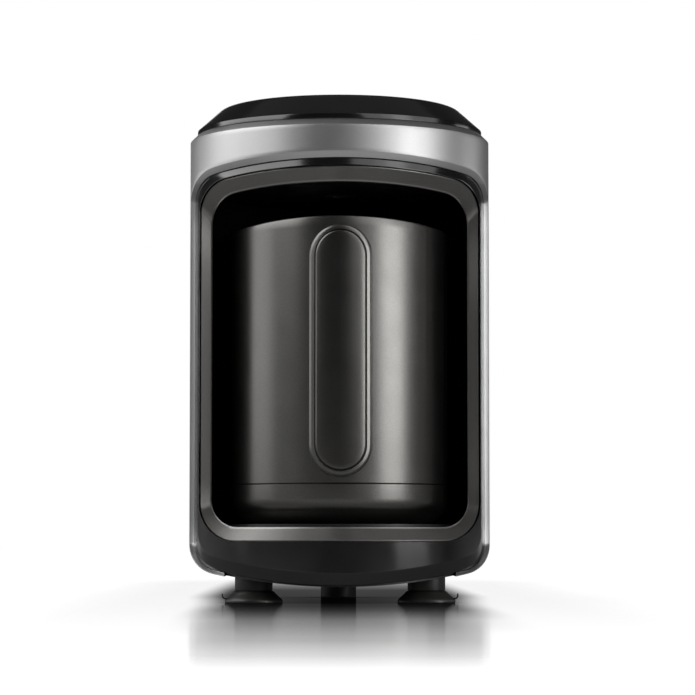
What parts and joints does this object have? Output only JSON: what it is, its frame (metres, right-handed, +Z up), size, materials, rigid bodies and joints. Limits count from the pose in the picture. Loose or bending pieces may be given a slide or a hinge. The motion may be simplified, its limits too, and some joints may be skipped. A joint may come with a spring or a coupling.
{
  "type": "electric turkish coffee maker",
  "caption": "Upright electric Turkish coffee maker: silver shell, open front bay, lift-out electric pot with an upright handle, sloped lid with push buttons, suction feet.",
  "frame": {"origin": "on the table, under the middle of the appliance's bounding box", "axes": "+Z up, -Y out of the open bay at the front, +X to the viewer's right"},
  "size_m": [0.158, 0.197, 0.2597],
  "materials": {
    "silver_shell": "satin silver",
    "gloss_black": "high gloss",
    "satin_charcoal": "satin",
    "black_plastic": "fine grain",
    "bay_black": "matte",
    "panel_black": "gloss, slightly smoked",
    "button_grey": "satin gloss",
    "steel": "fine brushed",
    "cast_aluminium": "as cast",
    "zinc_screw": "plated",
    "black_rubber": "soft satin",
    "silicone": "matte",
    "board_green": "solder mask",
    "component_black": "moulded",
    "component_blue": "sleeve",
    "terminal_green": "moulded",
    "contact_brass": "polished",
    "led_white": "diffuse",
    "clear_plastic": "clear"
  },
  "bodies": {
    "housing": {"outer_shell": "silver_shell", "front_bezel": "gloss_black", "bay_lip": "satin_charcoal", "bay_liner": "bay_black", "base_pan": "black_plastic", "base_screws": "zinc_screw", "left_foot_post": "gloss_black", "right_foot_post": "gloss_black", "left_suction_cup": "black_rubber", "right_suction_cup": "black_rubber", "rear_foot": "black_rubber", "rear_cover": "black_plastic", "cord_gland": "black_rubber", "cover_screws": "zinc_screw", "power_board": "board_green", "power_board_screws": "zinc_screw", "transformer": "component_black", "relay": "component_black", "capacitor": "component_blue", "terminal_block": "terminal_green", "pot_platform": "black_plastic", "base_connector": "black_plastic", "connector_contacts": "contact_brass", "top_lid": "gloss_black", "control_panel": "panel_black", "chassis_deck": "black_plastic", "control_board": "board_green", "control_board_screws": "zinc_screw", "tact_switches": "component_black", "indicator_leds": "led_white", "light_guide": "clear_plastic", "buzzer": "component_black", "control_chip": "component_black", "sensor_housing": "black_plastic", "sensor_lens": "clear_plastic"},
    "pot": {"pot_body": "satin_charcoal", "pot_base_cap": "satin_charcoal", "pot_connector": "black_plastic", "pot_cup": "steel", "pot_gasket": "silicone", "heater_plate": "cast_aluminium", "thermostat": "steel", "handle_frame": "satin_charcoal", "handle_grip": "satin_charcoal", "handle_screws": "zinc_screw"},
    "start_key": {"start_button": "button_grey"},
    "one_cup_key": {"one_cup_button": "button_grey"},
    "two_cup_key": {"two_cup_button": "button_grey"},
    "milk_key": {"milk_button": "button_grey"},
    "slow_brew_key": {"slow_brew_button": "button_grey"}
  },
  "joints": [
    {"name": "pot_lift", "type": "slide", "parent": "housing", "child": "pot", "axis": [0, 0, 1], "range_m": [0, 0.014]},
    {"name": "start_press", "type": "slide", "parent": "housing", "child": "start_key", "axis": [0, 0, -1], "range_m": [0, 0.0008], "stiffness_N_per_m": 1500},
    {"name": "one_cup_press", "type": "slide", "parent": "housing", "child": "one_cup_key", "axis": [0, 0, -1], "range_m": [0, 0.0008], "stiffness_N_per_m": 1500},
    {"name": "two_cup_press", "type": "slide", "parent": "housing", "child": "two_cup_key", "axis": [0, 0, -1], "range_m": [0, 0.0008], "stiffness_N_per_m": 1500},
    {"name": "milk_press", "type": "slide", "parent": "housing", "child": "milk_key", "axis": [0, 0, -1], "range_m": [0, 0.0008], "stiffness_N_per_m": 1500},
    {"name": "slow_brew_press", "type": "slide", "parent": "housing", "child": "slow_brew_key", "axis": [0, 0, -1], "range_m": [0, 0.0008], "stiffness_N_per_m": 1500}
  ]
}
